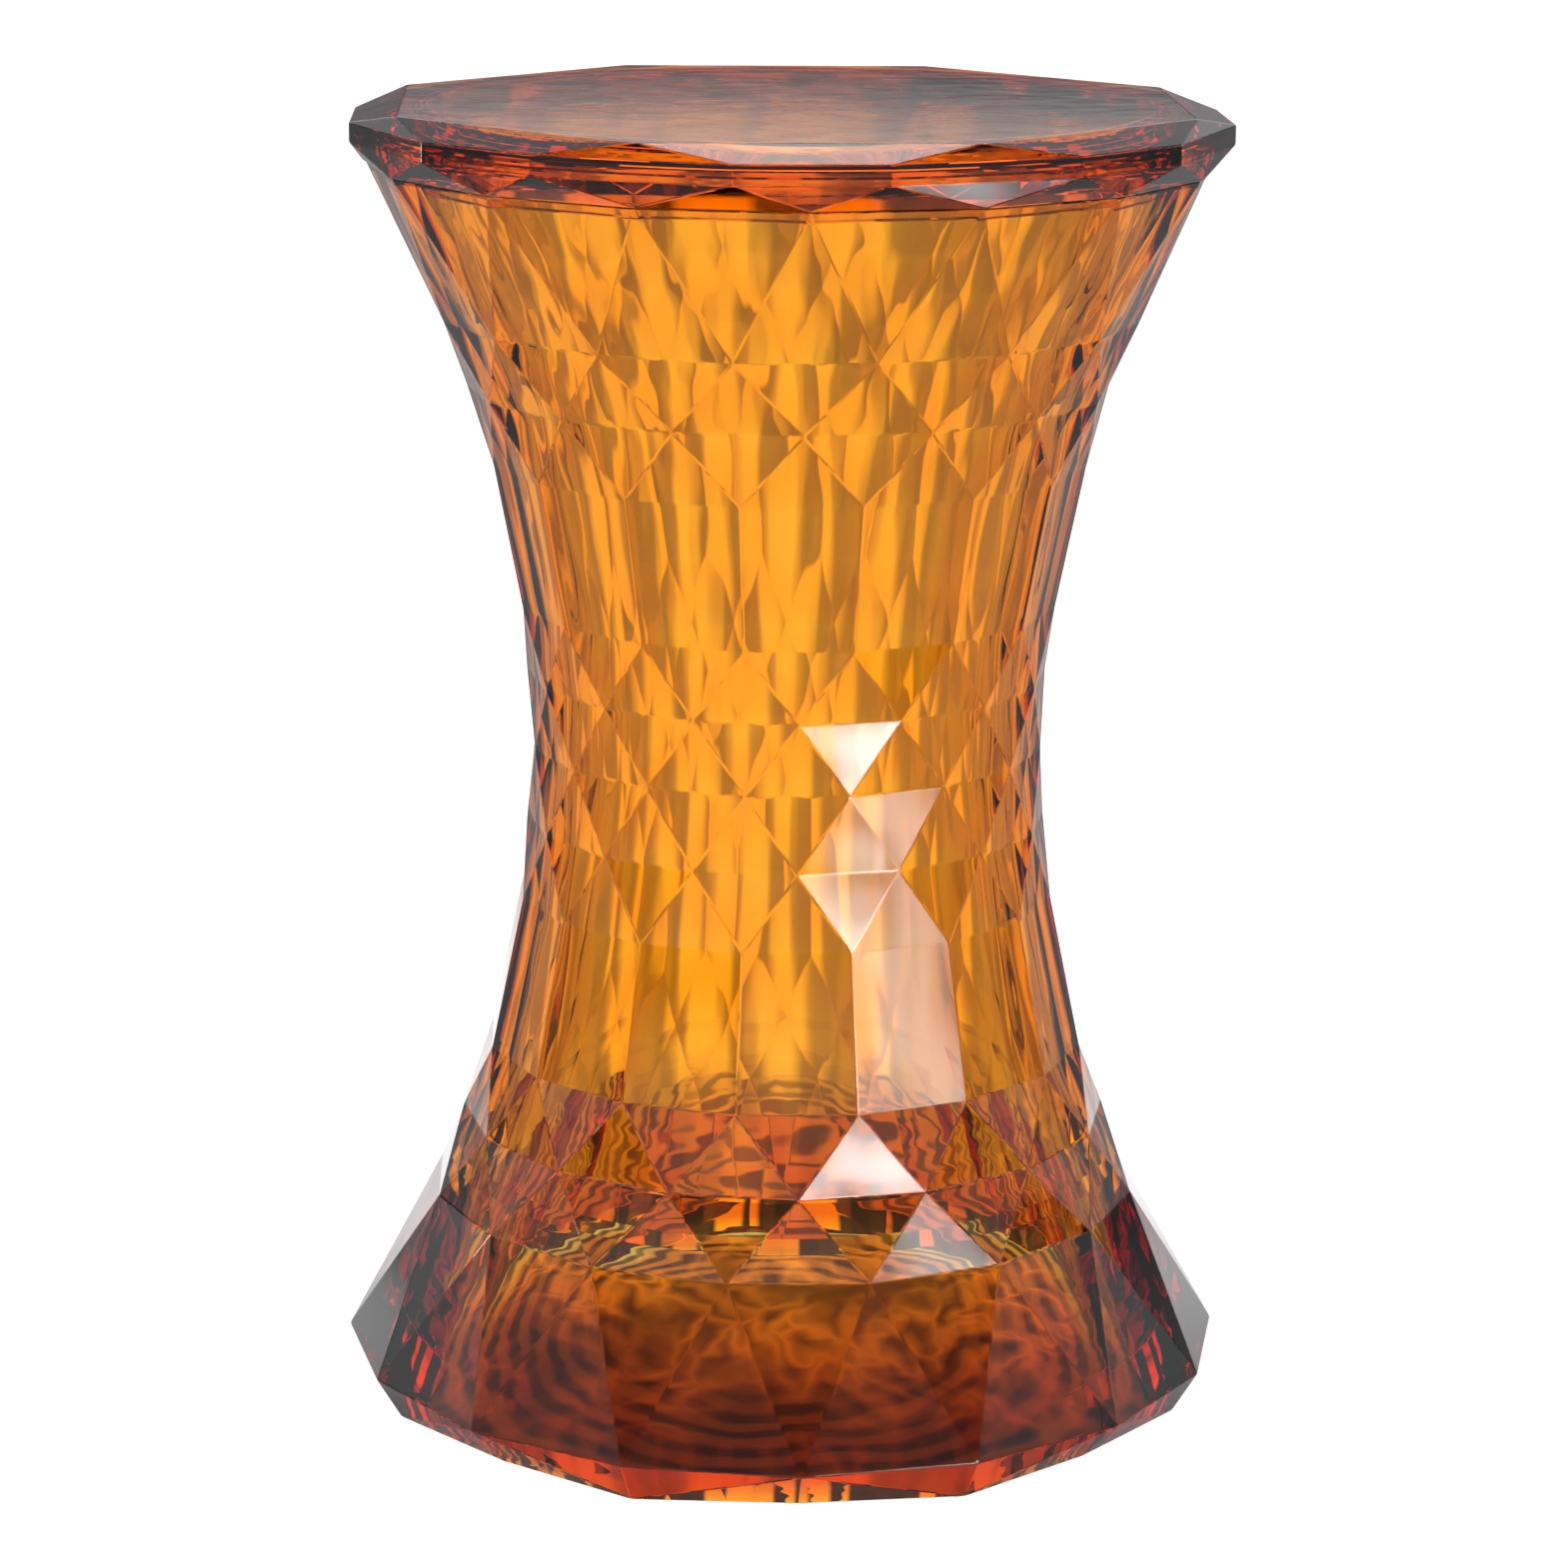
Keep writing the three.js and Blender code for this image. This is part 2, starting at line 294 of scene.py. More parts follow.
inner = smooth_outline(
    [(FOOT_INNER_RADIUS, GLIDE_PROUD)]
    + [(radius * SIDE_SHARE - WALL, height) for radius, height, _ in hourglass]
    + [(MOUTH_INNER_RADIUS, MOUTH_HEIGHT)]
)
low, high = GLIDE_PROUD - OVERRUN, MOUTH_HEIGHT + OVERRUN
foot_lip = [(FOOT_INNER_RADIUS + EDGE, GLIDE_PROUD), (FOOT_INNER_RADIUS, GLIDE_PROUD + EDGE)]
bore = turned_solid(
    "bore",
    [(0, low), (FOOT_INNER_RADIUS + EDGE, low)] + foot_lip + inner[1:]
    + [(MOUTH_INNER_RADIUS, high), (0, high)],
)
boolean(body, bore, "DIFFERENCE")
print("bore:", len(inner), "points in its outline,", len(body.data.polygons), "faces on the body")

# %% [markdown]
# ## Pockets for the glides
# Each glide sits in a shallow round pocket, halfway across the foot's wall, under every fourth strong
# corner. A short cylinder that runs past the foot's face cuts it.

# %% Pockets
GLIDE_RADIUS, GLIDE_CLEARANCE = 5 * MM, 0.3 * MM
GLIDE_POCKET_DEPTH = 1.8 * MM
POCKET_FLATS = 48


def glide_places():
    """The middles of the four glides, halfway across the foot."""
    radius = (FOOT_INNER_RADIUS + FOOT_CORNER_RADIUS) / 2
    for k in range(4):
        angle = 2 * HALF_STEP + k * math.pi / 2
        yield Vector((radius * math.sin(angle), -radius * math.cos(angle), 0))


pocket_radius = GLIDE_RADIUS + GLIDE_CLEARANCE
cutter_depth = GLIDE_POCKET_DEPTH + OVERRUN
cutter_middle = GLIDE_PROUD + GLIDE_POCKET_DEPTH - cutter_depth / 2
for place in glide_places():
    bm = bmesh.new()
    bmesh.ops.create_cone(
        bm, cap_ends=True, segments=POCKET_FLATS, radius1=pocket_radius, radius2=pocket_radius,
        depth=cutter_depth, matrix=Matrix.Translation(place + Vector((0, 0, cutter_middle))),
    )
    boolean(body, mesh_object("pocket", bm), "DIFFERENCE")
shade_by_angle(body)
print("pockets:", round(2000 * pocket_radius, 1), "mm across")

# %% [markdown]
# ## Which corners are inside
# The mould's outside is polished and its core is not, so the plastic is wavier inside. One material serves
# both, and an attribute of the mesh tells it where it is: 1 at each corner on the inside, 0 elsewhere.

# %% Mark the inside
def inner_radius_at(height):
    """How far out the smooth inside is at a height."""
    for (r0, z0), (r1, z1) in zip(inner, inner[1:]):
        if z1 >= height:
            return r0 + (r1 - r0) * (height - z0) / (z1 - z0)
    return inner[-1][0]


inside = body.data.attributes.new("inside", "FLOAT", "POINT")
for mark, corner in zip(inside.data, body.data.vertices):
    mark.value = float(corner.co.to_2d().length < inner_radius_at(corner.co.z) + WALL / 4)
marked = sum(mark.value > 0 for mark in inside.data)
print("body:", len(body.data.polygons), "faces,", marked, "corners on the inside")

# %% [markdown]
# ## The seat
# The seat is a cap with an eight-sided flat top, a chamfer, an upright rim band and a second chamfer that
# comes in to the body's mouth. The rim has sixteen corners: a short side under each side of the top and a
# long one between, so its ring is two rings of eight, turned either way.

# %% Seat facets
def rim_ring(height):
    def lay(bm):
        one = add_ring(bm, RIM_RADIUS, height, SIDES // 2, RIM_HALF_SIDE)
        return one + add_ring(bm, RIM_RADIUS, height, SIDES // 2, -RIM_HALF_SIDE)
    return lay


def seat_ring(bm):
    return add_ring(bm, SEAT_FLAT_RADIUS, STOOL_HEIGHT, SIDES // 2, 2 * HALF_STEP)


cap = faceted_solid([
    even_ring(SEAT_FOOT_RADIUS, SEAT_FOOT), rim_ring(RIM_BOTTOM), rim_ring(RIM_TOP), seat_ring,
])
print("seat facets:", len(cap.faces), "edges rounded:", round_edges(cap))
seat = mesh_object("seat", cap)

# %% [markdown]
# ## The seat's underside
# A round spigot drops into the body's mouth, and the cap is hollowed from below to a plate, with a fillet
# around its ceiling. Both are turned shapes: the first is joined on, the second cut out.

# %% Spigot and hollow
SEAT_PLATE, SEAT_FILLET = 8 * MM, 4 * MM
SPIGOT_HEIGHT, SPIGOT_WALL = 3 * MM, 5 * MM
FILLET_STEPS = 8

spigot_foot = MOUTH_HEIGHT - SPIGOT_HEIGHT
spigot_radius = inner_radius_at(spigot_foot) - JOINT
hollow_radius = spigot_radius - SPIGOT_WALL
ceiling = STOOL_HEIGHT - SEAT_PLATE
spigot = turned_solid("spigot", [
    (0, spigot_foot), (spigot_radius - EDGE, spigot_foot), (spigot_radius, spigot_foot + EDGE),
    (spigot_radius, RIM_BOTTOM), (0, RIM_BOTTOM),
])
boolean(seat, spigot, "UNION")
fillet = [
    (hollow_radius - SEAT_FILLET * (1 - math.cos(turn)), ceiling - SEAT_FILLET * (1 - math.sin(turn)))
    for turn in (math.pi / 2 * k / FILLET_STEPS for k in range(FILLET_STEPS + 1))
]
hollow = turned_solid("hollow", [
    (0, spigot_foot - OVERRUN), (hollow_radius + EDGE, spigot_foot - OVERRUN),
    (hollow_radius + EDGE, spigot_foot), (hollow_radius, spigot_foot + EDGE), *fillet, (0, ceiling),
])
boolean(seat, hollow, "DIFFERENCE")
shade_by_angle(seat)
print("seat:", len(seat.data.polygons), "faces")

# %% [markdown]
# ## Patterns from nodes
# The plastic's waves and wear change over the surface, and so does the light on the floor and in the room.
# All of it is built from a few kinds of node: a noise, a mapping that stretches it, a sum, and a range that
# turns one number into another. Each gets a short helper. An effect that both mouldings share is a node
# group, built once and placed in each material with its own values.

# %% Helpers for nodes
def new_group(name, inputs, outputs):
    """An empty node group with named number sockets, and its two ends."""
    group = bpy.data.node_groups.new(name, "ShaderNodeTree")
    for socket, kind in inputs:
        group.interface.new_socket(socket, in_out="INPUT", socket_type=kind)
    for socket, kind in outputs:
        group.interface.new_socket(socket, in_out="OUTPUT", socket_type=kind)
    return group, group.nodes.new("NodeGroupInput"), group.nodes.new("NodeGroupOutput")


def noise(tree, vector, scale, detail=2.0, roughness=0.5):
    node = tree.nodes.new("ShaderNodeTexNoise")
    node.inputs["Scale"].default_value = scale
    node.inputs["Detail"].default_value = detail
    node.inputs["Roughness"].default_value = roughness
    tree.links.new(vector, node.inputs["Vector"])
    return node.outputs["Fac"]


def mapped(tree, vector, scale):
    """A place that is stretched, by a small scale, or squeezed, by a large one, along each axis."""
    node = tree.nodes.new("ShaderNodeMapping")
    node.inputs["Scale"].default_value = scale
    tree.links.new(vector, node.inputs["Vector"])
    return node.outputs["Vector"]


def maths(tree, operation, first, second):
    node = tree.nodes.new("ShaderNodeMath")
    node.operation = operation
    for socket, value in zip(node.inputs, (first, second)):
        if isinstance(value, (int, float)):
            socket.default_value = value
        else:
            tree.links.new(value, socket)
    return node.outputs[0]


def ranged(tree, value, low, high, to_low, to_high):
    """A number from between low and high, moved to between two others and held there."""
    node = tree.nodes.new("ShaderNodeMapRange")
    tree.links.new(value, node.inputs["Value"])
    for socket, number in zip(("From Min", "From Max", "To Min", "To Max"), (low, high, to_low, to_high)):
        node.inputs[socket].default_value = number
    return node.outputs["Result"]


# %% [markdown]
# ## Waves of moulding
# The melt leaves long upright waves where it flowed up the mould, and turning the core leaves level
# ripples low in the foot. They bend what is seen through the wall. Rows of sine waves would repeat, so each
# is a noise that is stretched along one direction.

# %% Node group for waves
VECTOR, FLOAT, COLOUR = "NodeSocketVector", "NodeSocketFloat", "NodeSocketColor"
STREAKS, FINE_STREAKS, RIPPLES = 60, 180, 100        # about how many to a metre
STREAK_STRETCH, FINE_STRETCH = (1, 1, 0.05), (1, 1, 0.08)
RIPPLE_STRETCH = (0.12, 0.12, 1)
FINE_SHARE = 0.12
RIPPLES_END = (0.1, 0.14)                            # heights over which the ripples give way
STREAK_HEIGHTS, RIPPLE_HEIGHTS = (0.12, 1), (0.4, 0)   # below that and above it


def build_flow_waves():
    group, start, end = new_group(
        "flow_waves", [("Vector", VECTOR), ("Strength", FLOAT)], [("Height", FLOAT)])
    place = start.outputs["Vector"]
    broad = noise(group, mapped(group, place, STREAK_STRETCH), STREAKS, 1)
    fine = noise(group, mapped(group, place, FINE_STRETCH), FINE_STREAKS, 0)
    ripples = noise(group, mapped(group, place, RIPPLE_STRETCH), RIPPLES, 1)
    up = group.nodes.new("ShaderNodeSeparateXYZ")
    group.links.new(place, up.inputs["Vector"])
    upright = ranged(group, up.outputs["Z"], *RIPPLES_END, *STREAK_HEIGHTS)
    level = ranged(group, up.outputs["Z"], *RIPPLES_END, *RIPPLE_HEIGHTS)
    broad = maths(group, "MULTIPLY", broad, 1 - FINE_SHARE)
    fine = maths(group, "MULTIPLY", fine, FINE_SHARE)
    streaks = maths(group, "MULTIPLY", maths(group, "ADD", broad, fine), upright)
    height = maths(group, "ADD", streaks, maths(group, "MULTIPLY", ripples, level))
    group.links.new(maths(group, "MULTIPLY", height, start.outputs["Strength"]), end.inputs["Height"])
    return group


flow_waves = build_flow_waves()
print("node group:", flow_waves.name, "with", len(flow_waves.nodes), "nodes")

# %% [markdown]
# ## Wear
# Use leaves short fine scratches in two directions, in patches, and they only break up the gloss. The
# scratches are the highest parts of two stretched noises, kept where a third and much broader one says so.

# %% Node group for wear
POLISHED, SCRATCHED = 0.012, 0.16      # how rough the gloss is
SCRATCHES = (((1, 12, 12), 260, (0.66, 0.74)), ((9, 1.5, 9), 300, (0.67, 0.75)))
PATCHES, PATCH_EDGE = 14, (0.42, 0.62)
PATCH_TINT = (0.985, 0.975, 0.96, 1)


def build_fine_wear():
    group, start, end = new_group(
        "fine_wear", [("Vector", VECTOR), ("Wear", FLOAT)], [("Roughness", FLOAT), ("Tint", COLOUR)])
    place = start.outputs["Vector"]
    along, across = (
        ranged(group, noise(group, mapped(group, place, stretch), scale, 3), *highest, 0, 1)
        for stretch, scale, highest in SCRATCHES)
    scratches = maths(group, "MAXIMUM", along, across)
    worn = noise(group, place, PATCHES, 3)
    mask = maths(group, "MULTIPLY", scratches, ranged(group, worn, *PATCH_EDGE, 0, 1))
    mask = maths(group, "MULTIPLY", mask, start.outputs["Wear"])
    group.links.new(ranged(group, mask, 0, 1, POLISHED, SCRATCHED), end.inputs["Roughness"])
    ramp = group.nodes.new("ShaderNodeValToRGB")
    ramp.color_ramp.elements[0].color = PATCH_TINT
    ramp.color_ramp.elements[1].color = (1, 1, 1, 1)
    group.links.new(worn, ramp.inputs["Fac"])
    group.links.new(ramp.outputs["Color"], end.inputs["Tint"])
    return group


fine_wear = build_fine_wear()
print("node group:", fine_wear.name, "with", len(fine_wear.nodes), "nodes")

# %% [markdown]
# ## Amber plastic
# The plastic is clear, and its colour comes from depth: it soaks up blue at once, green over a centimetre
# or so, and hardly any red. So thin walls are golden, and edges that are looked along are a deep orange
# brown. A tinted surface would be the same everywhere, so the colour is in the volume instead. The waves
# are faint on the facets and many times higher on the inside.

# %% Amber plastic material
PLASTIC_IOR = 1.49
AMBER_PASS = (0.965, 0.772, 0.01, 1)   # what the plastic lets through, before its density
AMBER_DENSITY = 330
INSIDE_WAVES = 8                       # how much higher the waves are on the inside
WAVE_HEIGHT = 0.2 * MM


def amber_plastic(name, waves, wear):
    material = bpy.data.materials.new(name)
    material.use_nodes = True
    tree = material.node_tree
    shader = tree.nodes["Principled BSDF"]
    shader.inputs["Transmission Weight"].default_value = 1.0
    shader.inputs["IOR"].default_value = PLASTIC_IOR
    place = tree.nodes.new("ShaderNodeTexCoord").outputs["Object"]
    flow = tree.nodes.new("ShaderNodeGroup")
    flow.node_tree = flow_waves
    mark = tree.nodes.new("ShaderNodeAttribute")
    mark.attribute_name = "inside"
    strength = ranged(tree, mark.outputs["Fac"], 0, 1, waves, waves * INSIDE_WAVES)
    tree.links.new(strength, flow.inputs["Strength"])
    tree.links.new(place, flow.inputs["Vector"])
    marks = tree.nodes.new("ShaderNodeGroup")
    marks.node_tree = fine_wear
    marks.inputs["Wear"].default_value = wear
    tree.links.new(place, marks.inputs["Vector"])
    bump = tree.nodes.new("ShaderNodeBump")
    bump.inputs["Strength"].default_value = 1.0
    bump.inputs["Distance"].default_value = WAVE_HEIGHT
    tree.links.new(flow.outputs["Height"], bump.inputs["Height"])
    tree.links.new(bump.outputs["Normal"], shader.inputs["Normal"])
    tree.links.new(marks.outputs["Roughness"], shader.inputs["Roughness"])
    tree.links.new(marks.outputs["Tint"], shader.inputs["Base Color"])
    depth = tree.nodes.new("ShaderNodeVolumeAbsorption")
    depth.inputs["Color"].default_value = AMBER_PASS
    depth.inputs["Density"].default_value = AMBER_DENSITY
    tree.links.new(depth.outputs["Volume"], tree.nodes["Material Output"].inputs["Volume"])
    return material


# %% [markdown]
# ## Dress the mouldings
# The seat is a flat plate, so its waves are lower, and it is sat on, so it has more scratches. Each new
# piece then stands in for its imported node and rides on the one body that the stool has.

# %% Dress the mouldings
body.data.materials.clear()
body.data.materials.append(amber_plastic("amber_plastic_body", waves=0.6, wear=0.35))
seat.data.materials.clear()
seat.data.materials.append(amber_plastic("amber_plastic_seat", waves=0.2, wear=1.0))
for piece, node, finish in ((body, "body_shell", "amber_body"), (seat, "seat_top", "amber_seat")):
    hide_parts(node)
    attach(piece, "root")
CENTIMETRE = 10 * MM
passed = [math.exp(-(1 - share) * AMBER_DENSITY * CENTIMETRE) for share in AMBER_PASS[:3]]
print("red, green and blue let through by a centimetre:", [round(share, 3) for share in passed])

# %% [markdown]
# ## Clear glides
# The glides are the model's own pads. They are soft and satin, so they are far rougher than the plastic,
# with a fine grain and a little grey from the floor.

# %% Glide material
PAD_IOR, PAD_CLEARNESS = 1.43, 0.7
PAD_ROUGHNESS = (0.3, 0.5)
GRAIN, GRAIN_HEIGHT, MOTTLING = 900, 0.05 * MM, 220
PAD_DARK, PAD_PALE = (0.72, 0.7, 0.66, 1), (0.86, 0.85, 0.83, 1)


def clear_pad():
    material = bpy.data.materials.new("clear_glide")
    material.use_nodes = True
    tree = material.node_tree
    shader = tree.nodes["Principled BSDF"]
    shader.inputs["Transmission Weight"].default_value = PAD_CLEARNESS
    shader.inputs["IOR"].default_value = PAD_IOR
    place = tree.nodes.new("ShaderNodeTexCoord").outputs["Object"]
    grain = noise(tree, place, GRAIN, 3)
    tree.links.new(ranged(tree, grain, 0.3, 0.7, *PAD_ROUGHNESS), shader.inputs["Roughness"])
    ramp = tree.nodes.new("ShaderNodeValToRGB")
    ramp.color_ramp.elements[0].color = PAD_DARK
    ramp.color_ramp.elements[1].color = PAD_PALE
    tree.links.new(noise(tree, place, MOTTLING, 3), ramp.inputs["Fac"])
    tree.links.new(ramp.outputs["Color"], shader.inputs["Base Color"])
    bump = tree.nodes.new("ShaderNodeBump")
    bump.inputs["Strength"].default_value = 0.2
    bump.inputs["Distance"].default_value = GRAIN_HEIGHT
    tree.links.new(grain, bump.inputs["Height"])
    tree.links.new(bump.outputs["Normal"], shader.inputs["Normal"])
    return material


pad = clear_pad()
glides = [frame["nodes"][f"glide_{k}"] for k in range(1, 5)]
for glide in glides:
    for slot in glide.material_slots:
        slot.material = pad
print("glides dressed:", len(glides))

# %% [markdown]
# ## Floor: who is looking
# The ground is white, and clear plastic shows whatever lies around it, bent and coloured. So the floor is
# a pale matt sheet that also glows, by an amount that depends on how it is seen. Three kinds of ray are
# told apart: straight from the camera, out of the plastic, and mirrored off it. A ray that has been
# refracted counts as glossy too, so that share is taken out of the mirrored ones.

# %% Helpers for rays, colours and distances
def ray_kinds(tree):
    """Camera rays, rays that come out of the plastic and mirrored rays, each as 1 or 0."""
    path = tree.nodes.new("ShaderNodeLightPath")
    through = path.outputs["Is Transmission Ray"]
    mirrored = maths(tree, "MULTIPLY", path.outputs["Is Glossy Ray"], maths(tree, "SUBTRACT", 1, through))
    return path.outputs["Is Camera Ray"], through, mirrored


def mixed(tree, share, first, second):
    """A colour between two plain colours."""
    mix = tree.nodes.new("ShaderNodeMix")
    mix.data_type = "RGBA"
    tree.links.new(share, mix.inputs["Factor"])
    mix.inputs["A"].default_value, mix.inputs["B"].default_value = (*first, 1), (*second, 1)
    return mix.outputs["Result"]


def vector_maths(tree, operation, first, second=None):
    node = tree.nodes.new("ShaderNodeVectorMath")
    node.operation = operation
    tree.links.new(first, node.inputs[0])
    if second is not None:
        node.inputs[1].default_value = second
    return node.outputs


def distance_from(tree, place, middle):
    return vector_maths(tree, "LENGTH", vector_maths(tree, "SUBTRACT", place, middle)["Vector"])["Value"]


def wave(tree, angle, times):
    """Swings between 1 and -1 a number of times in a full turn."""
    return maths(tree, "COSINE", maths(tree, "MULTIPLY", angle, times), 0)


# %% [markdown]
# ## Floor: the sheet
# One large face is enough for a floor. It is drawn as two triangles, whose shared edge could show through
# the plastic as a thin line, so the sheet is shifted until that edge misses the stool.

# %% Floor sheet
FLOOR_COLOUR = (0.82, 0.82, 0.82)
FLOOR_HALF, FLOOR_SHIFT = 30, 4   # in metres

bm = bmesh.new()
bmesh.ops.create_grid(
    bm, x_segments=1, y_segments=1, size=FLOOR_HALF, matrix=Matrix.Translation((FLOOR_SHIFT, 0, 0)))
floor = mesh_object("floor", bm)
paint = bpy.data.materials.new("floor_paint_and_painted_light")
paint.use_nodes = True
floor.data.materials.append(paint)
tree = paint.node_tree
matt = tree.nodes["Principled BSDF"]
matt.inputs["Roughness"].default_value = 0.9
matt.inputs["Specular IOR Level"].default_value = 0.0
place = tree.nodes.new("ShaderNodeTexCoord").outputs["Object"]
at = tree.nodes.new("ShaderNodeSeparateXYZ")
tree.links.new(place, at.inputs["Vector"])
from_axis = distance_from(tree, place, (0, 0, 0))
camera_ray, through_ray, mirrored_ray = ray_kinds(tree)
print("floor:", floor.name, "with one face,", 2 * FLOOR_HALF, "m wide")

# %% [markdown]
# ## Floor: pools of light
# The camera sees the floor white, with a faint shadow. Through the plastic it is dim under the stool and
# rises to full brightness further out, as a real floor does in the stool's own shade. In the facets'
# mirror its front is dim, and a bright pool behind the stool gives the chamfers their pale glints.

# %% Pools of light
POOL_MIDDLE, POOL = (0, -0.05, 0), (0.09, 0.25)      # from where to where the glow rises
CAMERA_GLOW, THROUGH_GLOW = (0.96, 1.0), (0.12, 1.1)
FRONT, FRONT_GLOW = (-1.2, 0.3), (0.3, 0.08)         # along Y, in a mirror
BACK_MIDDLE, BACK, BACK_GLOW = (0, 0.35, 0), (0.2, 0.5), (1.0, 0)

pool = distance_from(tree, place, POOL_MIDDLE)
behind = distance_from(tree, place, BACK_MIDDLE)
seen = maths(tree, "MULTIPLY", camera_ray, ranged(tree, pool, *POOL, *CAMERA_GLOW))
through = maths(tree, "MULTIPLY", through_ray, ranged(tree, pool, *POOL, *THROUGH_GLOW))
mirrored = maths(tree, "MAXIMUM", ranged(tree, at.outputs["Y"], *FRONT, *FRONT_GLOW),
                 ranged(tree, behind, *BACK, *BACK_GLOW))
mirrored = maths(tree, "MULTIPLY", mirrored_ray, mirrored)
print("floor's glow through the plastic:", THROUGH_GLOW)

# %% [markdown]
# ## Floor: spokes and rings
# All-white surroundings would leave clear plastic flat: its form shows only by what it bends. A studio has
# dark gaps between its lit panels, and here they are dim spokes, fine ones and broad ones, from the foot
# outwards. Around the foot's edge come wavering rings, as light leaves them that has passed a turned wall.

# %% Spokes and rings
SPOKES, SPOKE_GLOW = 20, 0.28
SECTORS, SECTOR_GLOW = 8, 0.35
SPOKES_START = (0.13, 0.3)
RING_STEP, RING_GLOW = 0.013, 0.15
RINGS_START, RINGS_END = (0.05, 0.08), (0.2, 0.32)
WAVER, WAVER_SCALE = 9, 18        # how far a ring strays, as an angle of its wave, and how often


def darkened(tree, share, dark):
    """1, less a darkness that comes in with the share."""
    return maths(tree, "SUBTRACT", 1, maths(tree, "MULTIPLY", share, dark))


def spokes(tree, at, distance):
    """1 between the spokes and less on them."""
    turn = maths(tree, "ARCTAN2", at.outputs["X"], at.outputs["Y"])
    fine = ranged(tree, wave(tree, turn, SPOKES), -0.9, 0.6, SPOKE_GLOW, 1)
    broad = ranged(tree, wave(tree, turn, SECTORS), -0.6, 0.8, SECTOR_GLOW, 1)
    dark = maths(tree, "SUBTRACT", 1, maths(tree, "MULTIPLY", fine, broad))
    return darkened(tree, ranged(tree, distance, *SPOKES_START, 0, 1), dark)


def rings(tree, place, distance):
    """1 between the rings and less on them."""
    waver = maths(tree, "MULTIPLY", noise(tree, place, WAVER_SCALE, 2), WAVER)
    phase = maths(tree, "ADD", maths(tree, "MULTIPLY", distance, 2 * math.pi / RING_STEP), waver)
    dark = ranged(tree, wave(tree, phase, 1), -0.6, 0.5, 1 - RING_GLOW, 0)
    starting = ranged(tree, distance, *RINGS_START, 0, 1)
    ending = ranged(tree, distance, *RINGS_END, 1, 0)
    return darkened(tree, maths(tree, "MULTIPLY", starting, ending), dark)


through = maths(tree, "MULTIPLY", through, spokes(tree, at, from_axis))
through = maths(tree, "MULTIPLY", through, rings(tree, place, from_axis))
print(SPOKES, "spokes, and a ring every", RING_STEP * 1000, "mm")

# %% [markdown]
# ## Floor: a net of light
# Light that has been bent by facets draws a net of bright lines on the floor inside the foot. Real rays
# would take thousands of samples to find it, so the edges of warped cells stand in for it. It is seen only
# through the plastic, and most of it lies at the back.

# %% Net of light
NET_SCALE, NET_GLOW = 40, 0.6
NET_WARP, WARP_SCALE = 0.08, 22
NET_LINE, NET_SHARPNESS = 0.45, 1.5                  # how wide a line is, and how fast it fades
NET_PATCHES = 16
NET_FADE, NET_FRONT = (0.1, 0.18), (-0.1, 0.02)      # from the axis, and along Y


def warped(tree, place):
    """The place, shifted about by a noise."""
    warp = tree.nodes.new("ShaderNodeTexNoise")
    warp.inputs["Scale"].default_value = WARP_SCALE
    tree.links.new(place, warp.inputs["Vector"])
    shift = vector_maths(tree, "MULTIPLY", warp.outputs["Color"], (NET_WARP, NET_WARP, 0))["Vector"]
    total = tree.nodes.new("ShaderNodeVectorMath")
    tree.links.new(place, total.inputs[0])
    tree.links.new(shift, total.inputs[1])
    return total.outputs["Vector"]


def light_net(tree, place, distance):
    """The edges of warped cells, in patches, inside the foot."""
    cells = tree.nodes.new("ShaderNodeTexVoronoi")
    cells.feature, cells.voronoi_dimensions = "DISTANCE_TO_EDGE", "2D"
    cells.inputs["Scale"].default_value = NET_SCALE
    tree.links.new(warped(tree, place), cells.inputs["Vector"])
    lines = ranged(tree, cells.outputs["Distance"], 0, NET_LINE, 1, 0)
    lines = maths(tree, "POWER", lines, NET_SHARPNESS)
    patches = ranged(tree, noise(tree, place, NET_PATCHES, 1), 0.35, 0.6, 0, 1)
    near = ranged(tree, distance, *NET_FADE, NET_GLOW, 0)
    return maths(tree, "MULTIPLY", maths(tree, "MULTIPLY", lines, patches), near)


net = maths(tree, "MULTIPLY", through_ray, light_net(tree, place, from_axis))
net = maths(tree, "MULTIPLY", net, ranged(tree, at.outputs["Y"], *NET_FRONT, 0.3, 1))
print("the net fades between", [round(1000 * end) for end in NET_FADE], "mm from the axis")

# %% [markdown]
# ## Floor: put together
# The four glows are added up. Inside the foot the floor is lit by light that the wall has coloured, so its
# glow is orange there. Its paint is also darkened in the pool as a painted shadow, but only to rays through
# the plastic, because the lamp overhead would wash the pattern out.

# %% Glow and paint
FILTERED, FILTERED_REACH = (1.0, 0.42, 0.12), (0.11, 0.132)
POOL_SHADE, SHADE_REACH = 0.12, (0.22, 0.45)

glow = maths(tree, "ADD", maths(tree, "ADD", seen, mirrored), maths(tree, "ADD", through, net))
tree.links.new(glow, matt.inputs["Emission Strength"])
outside = ranged(tree, from_axis, *FILTERED_REACH, 0, 1)
tree.links.new(mixed(tree, outside, FILTERED, (1, 1, 1)), matt.inputs["Emission Color"])
# Painted shadow: to rays through the plastic, the floor's colour is darkened in the pool under the stool.
shaded = maths(tree, "MULTIPLY", through_ray, ranged(tree, pool, *SHADE_REACH, 1, 0))
shade = tuple(POOL_SHADE * part for part in FLOOR_COLOUR)
tree.links.new(mixed(tree, shaded, FLOOR_COLOUR, shade), matt.inputs["Base Color"])
print("floor's paint:", FLOOR_COLOUR, "and in the pool:", [round(part, 3) for part in shade])

# %% [markdown]
# ## World
# To the camera the world is white. For everything else it is a room: dim at the floor's far edge, dark
# just above that, then bright, and dim again overhead. The flat seat mirrors the step from dark to bright
# at a grazing angle, which turns it from brown to pale grey towards the front. Rays out of the plastic see
# bright and dark upright bars there, for the same reason as the spokes on the floor.

